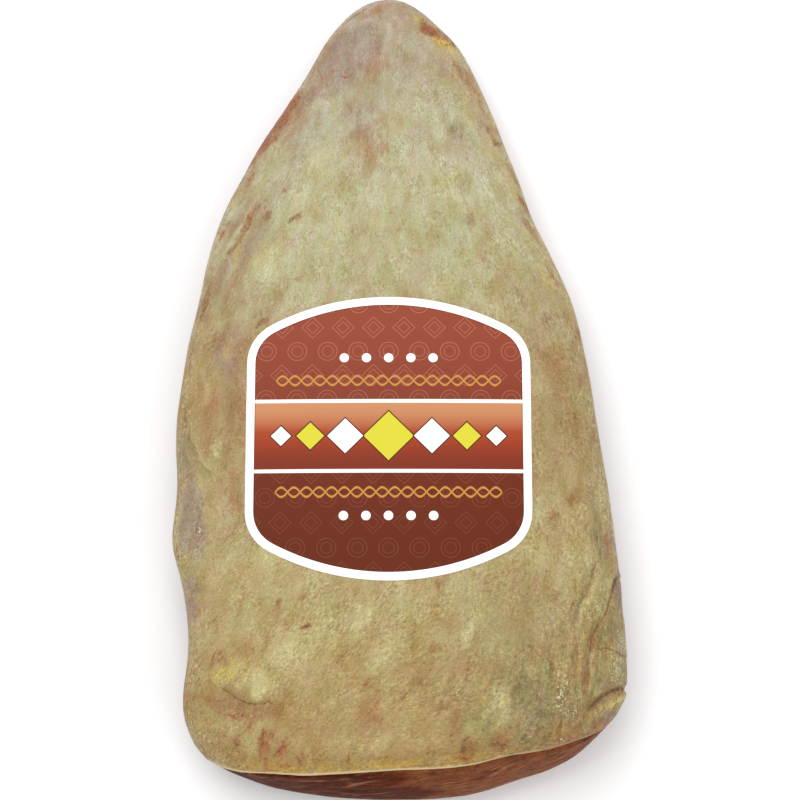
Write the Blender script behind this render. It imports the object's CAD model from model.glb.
import itertools
import math

import bmesh
import bpy
import numpy as np
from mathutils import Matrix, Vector
from mathutils.bvhtree import BVHTree


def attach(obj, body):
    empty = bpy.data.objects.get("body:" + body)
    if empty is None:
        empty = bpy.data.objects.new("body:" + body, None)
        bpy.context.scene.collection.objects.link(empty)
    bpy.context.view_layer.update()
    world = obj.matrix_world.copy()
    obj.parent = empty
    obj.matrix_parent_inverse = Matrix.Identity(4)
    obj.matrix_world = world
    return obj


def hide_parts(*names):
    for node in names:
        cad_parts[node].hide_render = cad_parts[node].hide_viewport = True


# Lengths are in millimetres until they reach Blender, which takes metres.
MM = 0.001

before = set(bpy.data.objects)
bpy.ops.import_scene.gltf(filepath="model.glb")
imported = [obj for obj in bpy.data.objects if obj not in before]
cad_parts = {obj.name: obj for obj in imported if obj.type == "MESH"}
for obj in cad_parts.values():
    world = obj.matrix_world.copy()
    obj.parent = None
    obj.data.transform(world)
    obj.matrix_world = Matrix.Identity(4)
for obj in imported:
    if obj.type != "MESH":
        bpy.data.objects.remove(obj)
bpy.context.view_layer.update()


# Camera, light and floor

CAMERA_TARGET = (0.78, -8.4, 24.4)
CAMERA_DISTANCE = 896.5
CAMERA_ELEVATION = 78
CAMERA_LENS = 110

SKY_STRENGTH = 0.8
KEY_POWER = 8.2
SOFTBOX_SIZE = 900
KEY_PLACE = (-240, 420, 1150)
FILL_POWER = 2.2
FILL_PLACE = (520, -460, 950)
FLOOR_SIZE = 6000


def add_camera():
    tilt = math.radians(90 - CAMERA_ELEVATION)
    x, y, z = CAMERA_TARGET
    data = bpy.data.cameras.new("camera")
    data.lens = CAMERA_LENS
    data.sensor_width = 36
    data.clip_end = 20
    camera = bpy.data.objects.new("camera", data)
    bpy.context.scene.collection.objects.link(camera)
    camera.location = (
        x * MM,
        (y - CAMERA_DISTANCE * math.sin(tilt)) * MM,
        (z + CAMERA_DISTANCE * math.cos(tilt)) * MM,
    )
    camera.rotation_euler = (tilt, 0, 0)
    bpy.context.scene.camera = camera


def add_softbox(name, power, size, place):
    data = bpy.data.lights.new(name, "AREA")
    data.energy = power
    data.size = size * MM
    light = bpy.data.objects.new(name, data)
    bpy.context.scene.collection.objects.link(light)
    light.location = [c * MM for c in place]
    light.rotation_euler = (-light.location).to_track_quat("-Z", "Y").to_euler()


def add_light():
    world = bpy.data.worlds.new("studio")
    world.use_nodes = True
    sky = world.node_tree.nodes["Background"]
    sky.inputs["Color"].default_value = (1, 1, 1, 1)
    sky.inputs["Strength"].default_value = SKY_STRENGTH
    bpy.context.scene.world = world
    bpy.context.scene.view_settings.view_transform = "Standard"
    add_softbox("key", KEY_POWER, SOFTBOX_SIZE, KEY_PLACE)
    add_softbox("fill", FILL_POWER, SOFTBOX_SIZE, FILL_PLACE)


def add_floor():
    half = FLOOR_SIZE * MM / 2
    mesh = bpy.data.meshes.new("floor")
    corners = [(-half, -half, 0), (half, -half, 0), (half, half, 0), (-half, half, 0)]
    mesh.from_pydata(corners, [], [(0, 1, 2, 3)])
    floor = bpy.data.objects.new("floor", mesh)
    bpy.context.scene.collection.objects.link(floor)
    shader = Shader("floor")
    shader.bsdf.inputs["Base Color"].default_value = (0.93, 0.93, 0.93, 1)
    shader.bsdf.inputs["Roughness"].default_value = 0.8
    shader.bsdf.inputs["Specular IOR Level"].default_value = 0.2
    mesh.materials.append(shader.material)


# Materials

SCATTER_DEPTH = 2.5


def srgb(r, g, b):
    """A colour as picture editors name it, 0 to 255, for Blender."""
    parts = [c / 255 for c in (r, g, b)]
    return (*[c / 12.92 if c <= 0.04045 else ((c + 0.055) / 1.055) ** 2.4 for c in parts], 1)


class Shader:
    """One material and the nodes that make it.

    Plan is the place in the part's own millimetres. Patterns follow place, which a material may bend.
    """

    def __init__(self, name):
        self.material = bpy.data.materials.new(name)
        self.material.use_nodes = True
        self.tree = self.material.node_tree
        self.bsdf = self.tree.nodes["Principled BSDF"]
        metres = self.node("ShaderNodeTexCoord").outputs["Object"]
        self.plan = self.scaled(metres, (1000, 1000, 1000))
        self.place = self.plan

    def node(self, kind, inputs=None, **settings):
        node = self.tree.nodes.new(kind)
        for key, value in settings.items():
            setattr(node, key, value)
        for socket, value in (inputs or {}).items():
            self.put(node.inputs[socket], value)
        return node

    def put(self, socket, value):
        if isinstance(value, bpy.types.NodeSocket):
            self.tree.links.new(value, socket)
        else:
            socket.default_value = value

    def scaled(self, vector, factors):
        node = self.node("ShaderNodeVectorMath", {0: vector, 1: factors}, operation="MULTIPLY")
        return node.outputs["Vector"]

    def shifted(self, vector, offset):
        node = self.node("ShaderNodeVectorMath", {0: vector, 1: offset}, operation="ADD")
        return node.outputs["Vector"]

    def math(self, operation, a, b=0.0):
        return self.node("ShaderNodeMath", {0: a, 1: b}, operation=operation).outputs["Value"]

    def graded(self, value, gain, offset):
        """The value times its gain, plus the offset."""
        inputs = {0: value, 1: gain, 2: offset}
        return self.node("ShaderNodeMath", inputs, operation="MULTIPLY_ADD").outputs["Value"]

    def absolute(self, value):
        return self.math("ABSOLUTE", value)

    def minus(self, a, b):
        return self.math("SUBTRACT", a, b)

    def plus(self, a, b):
        return self.math("ADD", a, b)

    def split(self, vector):
        return self.node("ShaderNodeSeparateXYZ", {0: vector}).outputs

    def attribute(self, name):
        return self.node("ShaderNodeAttribute", attribute_name=name).outputs["Fac"]

    def noise(self, size, detail=2.0, stretch=(1, 1, 1), seed=0, distortion=0.0, roughness=0.5):
        """Noise from about 0.2 to 0.8, with blots of that size, longer along an axis by its stretch."""
        factors = [1 / (size * s) for s in stretch]
        vector = self.shifted(self.scaled(self.place, factors), (17.3 * seed, 5.1 * seed, 9.7 * seed))
        inputs = {"Vector": vector, "Scale": 1.0, "Detail": detail, "Roughness": roughness}
        inputs["Distortion"] = distortion
        return self.node("ShaderNodeTexNoise", inputs).outputs["Fac"]

    def sway(self, reach, size, detail, seed):
        """Noise about zero, nearly all of it within a third of the reach."""
        return self.times(self.minus(self.noise(size, detail, seed=seed), 0.5), reach)

    def step(self, value, low, high):
        """0 below low, 1 above high, smooth between. Low may be the larger one."""
        inputs = {"Value": value, "From Min": low, "From Max": high}
        return self.node("ShaderNodeMapRange", inputs, interpolation_type="SMOOTHSTEP").outputs["Result"]

    def inside(self, value, edge, softness=0.1):
        """1 below the edge, 0 above it."""
        return self.step(value, edge + softness, edge - softness)

    def blots(self, low, high, *noise, **more):
        """1 where the noise is past high, 0 where it is short of low."""
        return self.step(self.noise(*noise, **more), low, high)

    def mix(self, factor, a, b, blend="MIX"):
        node = self.node("ShaderNodeMix", data_type="RGBA", blend_type=blend)
        self.put(node.inputs["Factor"], factor)
        self.put(node.inputs[6], a)
        self.put(node.inputs[7], b)
        return node.outputs[2]

    def coat(self, colour, tone, *amounts):
        """Lays a tone over a colour, as much of it as the amounts multiply up to."""
        return self.mix(self.times(*amounts), colour, tone)

    def ramp(self, value, stops):
        node = self.node("ShaderNodeValToRGB", {"Fac": value})
        elements = node.color_ramp.elements
        while len(elements) < len(stops):
            elements.new(0.5)
        for element, (position, colour) in zip(elements, stops):
            element.position = position
            element.color = colour
        return node.outputs["Color"]

    def times(self, *values):
        product = values[0]
        for value in values[1:]:
            product = self.math("MULTIPLY", product, value)
        return product

    def tint(self, colour, value, amount):
        """Lightens and darkens a colour by a noise whose middle is 0.5."""
        gain = self.graded(value, 2 * amount, 1 - amount)
        grey = self.node("ShaderNodeCombineColor", {"Red": gain, "Green": gain, "Blue": gain})
        return self.mix(1.0, colour, grey.outputs["Color"], "MULTIPLY")

    def shade(self, colour, value, dark, light):
        """Multiplies a colour by one tone where a noise is low and by the other where it is high."""
        tone = self.mix(self.step(value, 0.2, 0.8), (*dark, 1), (*light, 1))
        return self.mix(1.0, colour, tone, "MULTIPLY")

    def bump(self, height, depth, below=None):
        """Relief that is depth millimetres deep."""
        inputs = {"Height": height, "Distance": depth * MM, "Strength": 1.0}
        node = self.node("ShaderNodeBump", inputs)
        if below is not None:
            self.put(node.inputs["Normal"], below)
        return node.outputs["Normal"]

    def finish(self, colour, roughness, normal, specular=0.5, subsurface=0.0, radius=(1, 0.4, 0.2)):
        self.put(self.bsdf.inputs["Base Color"], colour)
        self.put(self.bsdf.inputs["Roughness"], roughness)
        self.put(self.bsdf.inputs["Normal"], normal)
        self.bsdf.inputs["Specular IOR Level"].default_value = specular
        self.bsdf.inputs["Subsurface Weight"].default_value = subsurface
        self.bsdf.inputs["Subsurface Radius"].default_value = radius
        self.bsdf.inputs["Subsurface Scale"].default_value = SCATTER_DEPTH * MM
        return self.material


# Noise for shapes


def lattice(cell, seed):
    """A repeatable number from 0 to 1 for each point of a whole-number lattice."""
    x, y, z = (cell[:, axis].astype(np.int64) for axis in range(3))
    h = (x * 73856093) ^ (y * 19349663) ^ (z * 83492791) ^ (seed * 40503)
    h = ((h ^ (h >> 13)) * 1274126177) & 0xFFFFFFFF
    return ((h ^ (h >> 16)) & 0xFFFF) / 0xFFFF


def noise(points, size, seed, stretch=(1, 1, 1)):
    """Smooth noise from -1 to 1, with bumps of that size."""
    scaled = points / (size * np.array(stretch, float))
    cell = np.floor(scaled)
    t = scaled - cell
    t = t * t * (3 - 2 * t)
    total = np.zeros(len(points))
    for corner in itertools.product((0, 1), repeat=3):
        weight = np.prod(np.where(corner, t, 1 - t), axis=1)
        total += weight * lattice(cell + corner, seed)
    return 2 * total - 1


def bumps(points, depth, size, seed, stretch=(1, 1, 1)):
    return depth * noise(points, size, seed, stretch)


def rise(value, low, high):
    """0 at low, 1 at high, smooth between. Low may be the larger one."""
    t = np.clip((value - low) / (high - low), 0, 1)
    return t * t * (3 - 2 * t)


# Meshes

HALVINGS = 3
LONGEST_EDGE = 1.7
EVENING_ROUNDS = 8
EVENING_PUSHES = (0.6, -0.5)


def coordinates(mesh):
    flat = np.empty(3 * len(mesh.vertices))
    mesh.vertices.foreach_get("co", flat)
    return flat.reshape(-1, 3) / MM


def normals(mesh):
    flat = np.empty(3 * len(mesh.vertices))
    mesh.vertices.foreach_get("normal", flat)
    return flat.reshape(-1, 3)


def set_coordinates(mesh, points):
    mesh.vertices.foreach_set("co", (points * MM).ravel())
    mesh.update()


def set_attribute(mesh, name, values):
    layer = mesh.attributes.new(name, "FLOAT", "POINT")
    layer.data.foreach_set("value", values.astype(np.float32))


def refined(node, name, is_hidden, keeps):
    """A copy of a CAD node, whose faces that show are divided finely and evened.

    Says which vertices lie in those faces, and which way each vertex looks.
    """
    bm = bmesh.new()
    bm.from_mesh(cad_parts[node].data)
    bmesh.ops.remove_doubles(bm, verts=bm.verts, dist=1e-6)
    bm.normal_update()
    for face in bm.faces:
        face.material_index = 0 if is_hidden(face) else 1
    for _ in range(HALVINGS):
        edges = {edge for face in bm.faces if face.material_index for edge in face.edges}
        edges = [edge for edge in edges if edge.calc_length() > LONGEST_EDGE * MM]
        bmesh.ops.subdivide_edges(bm, edges=edges, cuts=1)
        bmesh.ops.triangulate(bm, faces=[face for face in bm.faces if len(face.verts) > 3])
        even(bm, keeps)
    shown = np.array([any(face.material_index for face in v.link_faces) for v in bm.verts])
    facing = facings(bm)
    for edge in bm.edges:
        edge.smooth = len({face.material_index for face in edge.link_faces}) < 2
    for face in bm.faces:
        face.material_index = 0
        face.smooth = True
    mesh = bpy.data.meshes.new(name)
    bm.to_mesh(mesh)
    bm.free()
    return mesh, shown, facing


def facings(bm):
    """Which way each vertex's faces that show are turned, or all its faces where none shows."""
    bm.normal_update()
    found = []
    for v in bm.verts:
        faces = [face for face in v.link_faces if face.material_index] or v.link_faces
        total = sum((face.normal * face.calc_area() for face in faces), Vector())
        found.append(total.normalized())
    return np.array(found)


def even(bm, keeps):
    """Evens out the facets that show without drawing the form in. Keeps says where an edge stays."""
    bm.verts.index_update()
    shown = {edge for face in bm.faces if face.material_index for edge in face.edges}
    a, b = np.array([[v.index for v in edge.verts] for edge in shown]).T
    points = np.array([v.co for v in bm.verts]) / MM
    count = len(points)
    neighbours = np.bincount(np.concatenate([a, b]), minlength=count)
    inside = np.array([all(face.material_index for face in v.link_faces) for v in bm.verts])
    weight = ((neighbours > 0) * inside * (1 - keeps(points)))[:, None]
    neighbours = np.maximum(neighbours, 1)[:, None]
    for _ in range(EVENING_ROUNDS):
        for push in EVENING_PUSHES:
            total = np.stack(
                [
                    np.bincount(a, points[b, axis], count) + np.bincount(b, points[a, axis], count)
                    for axis in range(3)
                ],
                axis=1,
            )
            points = points + push * weight * (total / neighbours - points)
    for v, place in zip(bm.verts, points * MM):
        v.co = place


def add_piece(mesh, name, node):
    piece = bpy.data.objects.new(name, mesh)
    bpy.context.scene.collection.objects.link(piece)
    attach(piece, "root")
    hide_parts(node)
    return piece


# Marks on the fat, seen from above: x, y, half length, half width, turn in degrees, strength

ROSY_MARKS = [
    (-8, 120, 9, 5, 60, 0.8), (-9, 127, 4, 2, 70, 0.9), (-11, 87, 10, 5.5, 95, 0.85),
    (-7, 86, 4, 3, 95, 0.9), (-17, 102, 6, 4, 20, 0.35), (-8, 146, 7, 1.6, 32, 1),
    (36, 96, 3, 1.6, 160, 0.8), (25, 120, 3.4, 2, 120, 0.8), (28, 114, 4, 1.4, 120, 0.8),
    (22, 89, 7, 5, 100, 0.4), (9, 49, 9, 6, 100, 0.35), (-70, 37, 6, 1.4, 78, 0.6),
    (-71, 28, 6, 1.4, 80, 0.5), (-67, -15, 8, 3.6, 80, 0.8), (-68, -28, 5, 2.2, 90, 0.8),
    (-55.6, -20, 11, 1.8, 90, 0.9), (-61, 6, 3, 2, 60, 0.6), (-58, -40, 4, 2.6, 80, 0.8),
    (-54, -34, 4, 2, 90, 0.3), (-67, -47, 3, 2, 60, 0.5), (-39, 98, 11, 5, 58, 0.8),
    (-30, 113, 7, 2.4, 55, 0.6), (-29, 125, 6, 2, 55, 0.6), (-39, -119, 5, 3, 130, 0.7),
    (-10, -124, 6, 4, 60, 0.7), (-13, -131, 5, 3, 120, 0.6), (-6, -127, 4, 3, 100, 0.5),
    (-62, -133, 4, 3, 100, 0.6), (-60, -121, 8, 4, 10, 0.8), (-48, -124, 8, 3, 10, 0.8),
    (41, -80, 5, 1.3, 105, 0.6), (76, -66, 8, 2, 100, 0.7), (63, -30, 6, 3, 90, 0.4),
    (58, 3, 6, 3, 90, 0.5), (66, -112, 6, 3, 80, 0.5), (58, -134, 10, 1.6, 25, 1),
    (60, -55, 9, 4, 90, 0.3), (70, -130, 8, 1.4, 40, 0.8), (62, -104, 8, 3, 95, 0.4),
    (-79, -114, 5, 1.6, 90, 1), (-77, -90, 10, 1.2, 94, 0.6), (74, -101, 4, 2.4, 40, 0.6),
    (50, -103, 9, 5, 80, 0.3),
]
RED_MARKS = [
    (-40, 107, 5, 2.4, 56, 1.1), (-43.5, 101.5, 4.4, 2.6, 72, 1.4), (-46.6, 97, 4.6, 2.6, 46, 1.3),
    (-50, 91, 4.6, 2.4, 66, 1.4), (-53.5, 85, 3.4, 1.8, 58, 0.9), (-37.6, 111, 3, 1.6, 50, 0.8),
    (-46, 92, 3, 1.6, 40, 0.9), (-55, 76, 3, 1.6, 60, 0.7), (-56, 73, 1.6, 1.2, 60, 0.6),
    (-65, 54, 1.9, 1, 75, 1), (-54, 59, 3.4, 1.2, 65, 0.9), (-20, 116, 2.2, 0.9, 165, 0.7),
    (-24, 119, 1.9, 1, 10, 0.6), (-42, 69, 1.6, 1.2, 60, 0.9), (11.4, 138.6, 4, 2.8, 150, 1.6),
    (16, 134.6, 4, 2, 140, 0.8), (-67, -14, 5, 1.6, 80, 0.45), (-78, -113, 3, 1, 90, 0.8),
    (-32, -94, 1.3, 0.9, 50, 1), (-57, -134, 3, 1.4, 100, 0.8), (-52, -129, 2.6, 1.2, 90, 0.6),
    (-47, -134.5, 5, 2.1, 84, 1.1), (-44, -132, 3, 1.2, 80, 0.6), (-40.6, -136, 4, 1.8, 62, 1),
    (-34, -140, 2.8, 1.8, 80, 0.9), (-46, -141, 3, 1.6, 110, 0.9), (-11, -114, 1.4, 1, 30, 0.9),
    (56, -133, 1.6, 1, 60, 0.8), (68, -98, 2.2, 1.4, 60, 0.8), (-57, -125, 3.6, 1, 0, 1),
    (-61, -131, 2, 1, 110, 0.5), (79, -116, 3, 1, 25, 0.8), (-40, -142, 4, 0.8, 0, 0.7),
    (-74, -117, 4.4, 2.2, 170, 0.6), (-67, -119, 4, 1.4, 160, 0.5),
]
RUST_MARKS = [
    (-45, 99, 9, 3.4, 56, 1), (-40, 107, 4, 2, 56, 0.8), (-53, 85, 5, 2, 60, 0.8),
    (15, -112, 16, 9, 60, 0.3), (36, 92, 7, 1.2, 117, 0.6), (43, 77, 6, 1.1, 114, 0.55),
    (31, 106, 5, 1, 117, 0.5), (-56, 55, 3, 1.3, 60, 1), (-58.5, 50, 3.4, 1.2, 62, 0.8),
    (-61, 45.5, 2, 1.2, 60, 1), (-52, 62, 2.4, 1.2, 60, 0.7), (37, 90, 2.4, 0.8, 30, 0.8),
    (30, 111, 3.4, 1, 110, 0.45), (24, 119, 9, 1.6, 118, 0.5), (16, 134, 7, 3.2, 140, 1.1),
    (-38, 57, 3.4, 1.1, 25, 0.8), (-48, 59, 2.6, 1.6, 80, 0.7), (-49, 17, 4, 1.2, 40, 0.8),
    (-36, 33, 1.6, 1.3, 80, 0.6), (50, 55, 6, 1.2, 118, 0.9), (47, 66, 4, 1.2, 118, 0.7),
    (57, 37, 6, 1.1, 122, 0.7), (65, 15, 4, 1.2, 105, 0.7), (54, 18, 4, 2, 90, 0.5),
    (66, -5, 3.4, 1.3, 80, 0.5), (70, -25, 4, 1.3, 85, 0.5), (-71, 26, 9, 1.5, 76, 0.8),
    (-66, 10, 6, 3.4, 90, 0.4), (-61, 46, 2, 1, 60, 0.9), (-62, 18, 6, 3, 80, 0.35),
    (27, 57, 4, 2, 100, 0.4), (-34, -84, 2, 1.1, 30, 0.7), (-42, -86, 3, 1.6, 60, 0.6),
    (-77, -18, 6, 1.2, 84, 0.5), (-76, -105, 6, 1.6, 90, 0.6), (-22, -78, 5, 3, 90, 0.25),
    (15, -79, 5, 2.4, 70, 0.45), (54, -83, 3, 3, 0, 0.5), (13, -102, 3, 2, 60, 0.6),
    (3, -118, 5, 1.4, 32, 0.7), (8, -113, 8, 4, 30, 0.35), (23, -109, 6, 3, 60, 0.35),
    (54, -41, 2, 1.4, 70, 0.5), (63, -48, 3, 2, 80, 0.5), (56, -54, 2.4, 2, 80, 0.6),
    (54, -64, 3, 2, 90, 0.5), (20, -128, 6, 3, 70, 0.4), (24, -137, 4, 3, 90, 0.8),
    (-17, -140, 2.4, 1.2, 90, 0.7), (35, -135, 3, 3.4, 60, 0.6), (12, -138, 3, 2, 90, 0.5),
    (64, -112, 3, 4, 60, 0.4), (-63, -106, 5, 3, 80, 0.5), (-46, -100, 7, 3, 60, 0.35),
    (-56, -92, 8, 3, 80, 0.3), (36, 66, 4, 2, 60, 0.3), (-66, -128, 7, 2.4, 120, 0.2),
]
YELLOW_MARKS = [
    (20, 74, 8, 5, 20, 0.4), (16, 68, 9, 5, 60, 0.35), (-61, -110, 5, 4, 150, 0.85),
    (-56, -107, 5, 3, 150, 0.6), (8.4, 142, 3, 1.6, 140, 1.2), (16.4, 132.8, 4.6, 2.4, 140, 1.5),
    (20, 129, 3, 1.2, 130, 1.1), (27, 100, 9, 4, 110, 0.4), (31, 86, 2.4, 1.4, 60, 0.4),
    (76, -120, 4, 1.6, 30, 1), (60, 5, 9, 4, 100, 0.3), (-30, -66, 8, 4, 100, 0.3),
    (-61, 7, 6, 3, 80, 0.5), (44, 67, 9, 2.4, 117, 0.4), (54, 36, 8, 2.6, 114, 0.5),
    (36, 86, 8, 2, 117, 0.4), (-70, -10, 8, 2, 84, 0.4), (-73, 0, 7, 2, 80, 0.4),
    (70, -92, 5, 2, 60, 0.4), (64, -101, 7, 0.9, 90, 0.35), (63, -111, 6, 0.9, 90, 0.3),
    (-60, 44, 6, 2, 80, 0.4), (-76, -80, 3, 1, 90, 0.4),
]
CREAM_MARKS = [
    (-38, -102, 14, 9, 40, 0.5), (-62, -60, 10, 4, 90, 0.2), (-49, -113.6, 7.5, 4.4, 158, 1),
    (36, -123, 7, 6, 90, 0.6), (7, -91, 3.4, 1.8, 60, 0.7), (-22, 55, 4, 3, 60, 0.6),
    (-25, 46, 4, 2, 60, 0.6), (38, 23, 7, 5, 100, 0.5), (27, 49, 9, 5, 80, 0.4),
    (-44, -66, 9, 6, 80, 0.7), (-48, 40, 8, 6, 60, 0.6), (-42, -81, 1.4, 0.9, 60, 1),
    (-23, -90, 3, 1.6, 60, 0.7), (-23, -98, 4, 2, 60, 0.6), (24, -97, 6, 1.8, 75, 1),
    (-61, -130, 1.4, 0.9, 40, 0.8), (-35, 62, 6, 5, 40, 0.4), (2, 100, 10, 6, 60, 0.3),
    (-12, -90, 7, 3, 60, 0.6), (-4, -103, 8, 3, 50, 0.6), (-66, -30, 6, 0.9, 130, 0.6),
    (28, -88, 6, 3, 70, 0.4), (15, 30, 6, 4, 0, 0.4), (-30, 80, 9, 5, 60, 0.4), (-69, -8, 6, 2, 90, 0.4),
    (52, -8, 6, 3, 90, 0.3), (-58, -66, 6, 2.4, 85, 0.4), (-8, 56, 3, 5, 10, 0.5),
    (77, -110, 4, 1.4, 90, 0.6), (68, -84, 6, 1, 65, 0.5), (-54, -129, 13, 9, 160, 0.32),
]
LILAC_MARKS = [
    (-20, 120, 15, 9, 55, 0.75), (-14, 100, 14, 8, 60, 0.55), (-34, 90, 14, 7, 60, 0.5),
    (-45, 66, 14, 7, 60, 0.45), (-16, 135, 9, 5, 30, 1), (-22, 132, 8, 3, 60, 1),
    (-10, 128, 9, 5, 60, 0.7), (-27, 122, 8, 3.4, 58, 0.8), (-34, 108, 9, 3, 58, 0.8),
    (-30, 112, 8, 4, 60, 0.6), (-30, 99, 4, 2.4, 60, 0.5), (-14, 92, 6, 4, 100, 0.5),
    (-58, 62, 9, 3, 60, 0.6), (-50, 52, 7, 3, 60, 0.6), (-47, 66, 8, 3, 40, 0.5), (4, 120, 7, 5, 60, 0.5),
    (16, 120, 6, 4, 120, 0.5), (30, 100, 7, 4, 110, 0.5), (-20, 146, 5, 2, 45, 0.8),
    (10, 146, 8, 2, 160, 0.5), (-73, -56, 15, 5, 95, 1), (-74, -82, 10, 4, 90, 0.9),
    (-61.4, 5, 9, 4, 85, 0.8), (-76, -36, 8, 3, 95, 0.6), (79, -78, 9, 2.4, 93, 0.8),
    (75, -124.5, 4, 1.8, 60, 1), (78, -62, 6, 2.4, 95, 0.7), (-56, 44, 8, 3, 75, 0.5),
    (48, 62, 8, 3, 115, 0.5), (-8, 110, 9, 4, 80, 0.4), (-63, 40, 9, 2, 72, 0.6),
]
GREY_MARKS = [
    (-50, 57, 2.4, 1.2, 60, 0.7), (43, -117, 10, 6, 90, 0.5), (47, -128, 9, 6, 60, 0.8),
    (78, -84, 10, 1.6, 96, 0.7), (73, -63, 9, 3, 100, 0.8), (70, -50, 6, 2.4, 100, 0.6),
    (-59, -121, 6, 2, 160, 0.5), (-46, 26, 7, 4, 60, 0.3), (22, 93, 4.4, 4, 90, 0.6),
    (24, 72, 5, 4.4, 90, 0.4), (23, 51, 8, 6, 90, 0.3), (39, 24, 7, 4.4, 60, 0.5),
    (62, 12, 9, 3, 105, 0.3), (58, -122, 7, 4, 90, 0.7), (-72, 5, 10, 3, 88, 0.4),
    (20, 18, 6, 3, 20, 0.3), (75, -92, 6, 2.4, 100, 0.7), (-77, -30, 8, 2.4, 90, 0.6),
    (74, -114, 6, 4, 90, 0.5), (40, -134, 8, 3, 10, 0.4), (50, -121, 9, 4, 90, 0.8),
]
WET_MARKS = [
    (57, -117, 6, 2, 75, 1), (77, -108, 7, 2, 90, 1), (79, -99, 4, 1.6, 90, 0.8),
    (60, -123, 2, 1.6, 0, 0.9), (24, -97, 5, 2, 75, 0.3), (-72, -58, 10, 1.6, 92, 0.3),
    (69, -42, 1.3, 0.8, 110, 1), (-71, -59, 1, 0.8, 90, 1), (21, -117, 1.6, 0.9, 40, 0.9),
    (-22, -94, 6, 3, 60, 0.25), (47, -131, 3, 1.4, 0, 0.3), (61, -124, 2.4, 1.4, 90, 0.8),
    (58, -133, 1.6, 1, 20, 0.9), (72, -86, 3, 1.4, 70, 0.7), (67, -90, 3, 1.6, 70, 0.6),
]
MARKS = {
    "rosy": ROSY_MARKS,
    "red": RED_MARKS,
    "rust": RUST_MARKS,
    "yellow": YELLOW_MARKS,
    "cream": CREAM_MARKS,
    "grey": GREY_MARKS,
    "lilac": LILAC_MARKS,
    "wet": WET_MARKS,
}

# Creases, folds and fine lines in the fat:
# points from above, half width, depth, darkness, height of the fold beside it
CREASES = [
    ([(-61.6, -115.4), (-59, -116.4), (-56.7, -118.5), (-52.8, -120.3), (-49.6, -121), (-46.8, -120.7),
      (-45.4, -119.7), (-44.3, -120.7)], 0.4, 0.25, 0.7, 0.6),
    ([(78.4, -75), (77, -80), (74.6, -87.3), (71.5, -91.8), (69.2, -95.6), (68, -99),
      (67.4, -103)], 0.4, 0.9, 0.8, 0.7),
    ([(71, -71), (68.5, -78), (66, -83), (63.6, -87)], 0.35, 0.6, 0.5, 0.5),
    ([(69, -97.5), (70, -99.5), (71, -101)], 0.35, 0.4, 0.7, 0),
    ([(82, -114.4), (80, -114.6), (77, -116), (73.8, -118), (70, -121), (68, -122)], 0.5, 1, 0.9, 0.8),
    ([(70, -100), (72, -101), (76, -101.6), (78, -102.5), (81, -103.5)], 0.35, 0.4, 0.8, 0.3),
    ([(62, -85), (61, -87)], 0.4, 0.4, 0.6, 0),
    ([(67, -104), (67, -108), (66.6, -112)], 0.35, 0.4, 0.4, 0.3),
    ([(78, -120), (76, -123), (74, -126)], 0.4, 0.3, 0.5, 0),
    ([(73, -122), (71, -124), (71, -127)], 0.4, 0.4, 0.6, 0),
    ([(57, -126), (57.4, -129), (57, -133)], 0.5, 0.3, 0.6, 0),
    ([(50, -124), (49, -132)], 0.35, 0.3, 0.5, 0),
    ([(-59, -125), (-56, -126), (-53, -125)], 0.5, 0.08, 0.5, 0),
    ([(-57, -133), (-57, -135), (-56, -137)], 0.5, 0.08, 0.4, 0),
    ([(-47, -131), (-47, -134), (-48, -137), (-48, -140)], 0.6, 0.08, 0.35, 0),
    ([(-40, -135), (-42, -137), (-43, -139)], 0.6, 0.1, 0.5, 0),
    ([(-35, -139), (-34, -141)], 0.5, 0.08, 0.6, 0),
    ([(-17, -139), (-17, -140), (-18, -142)], 0.5, 0.08, 0.7, 0),
    ([(-73.4, -28), (-71, -33.5), (-68, -37.4), (-65, -40)], 0.35, 0.4, 0.3, 0.6),
    ([(-75, -19), (-75, -23), (-75, -26)], 0.45, 0.1, 0.5, 0),
    ([(-40, 56), (-38, 58), (-36, 59)], 0.6, 0.08, 0.5, 0),
    ([(35, 81), (37, 80), (41, 82)], 0.45, 0.1, 0.25, 0), ([(36, 89), (38, 91)], 0.6, 0.1, 0.6, 0),
    ([(22, 122), (25, 121), (26, 118)], 0.45, 0.1, 0.5, 0),
    ([(-30, 120), (-29, 117), (-29, 115)], 0.45, 0.08, 0.5, 0),
    ([(-22, 117), (-20, 116), (-17, 117)], 0.5, 0.08, 0.25, 0),
    ([(-13, 147), (-18, 143), (-21, 140)], 0.45, 0.1, 0.6, 0),
    ([(57, 43), (60, 38), (63, 32)], 0.5, 0.08, 0.5, 0),
    ([(-13, -99), (-17, -102), (-21, -106)], 0.5, 0.2, 0.4, 0.3),
    ([(-33.3, -94.2), (-31.6, -93.8)], 0.7, 0.1, 0.8, 0),
    ([(-11, -114), (-12, -116), (-13, -117)], 0.5, 0.08, 0.5, 0),
    ([(-71, -54), (-72, -60)], 0.45, 0.1, 0.5, 0),
]
CREASE_REACH = 1.7

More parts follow.
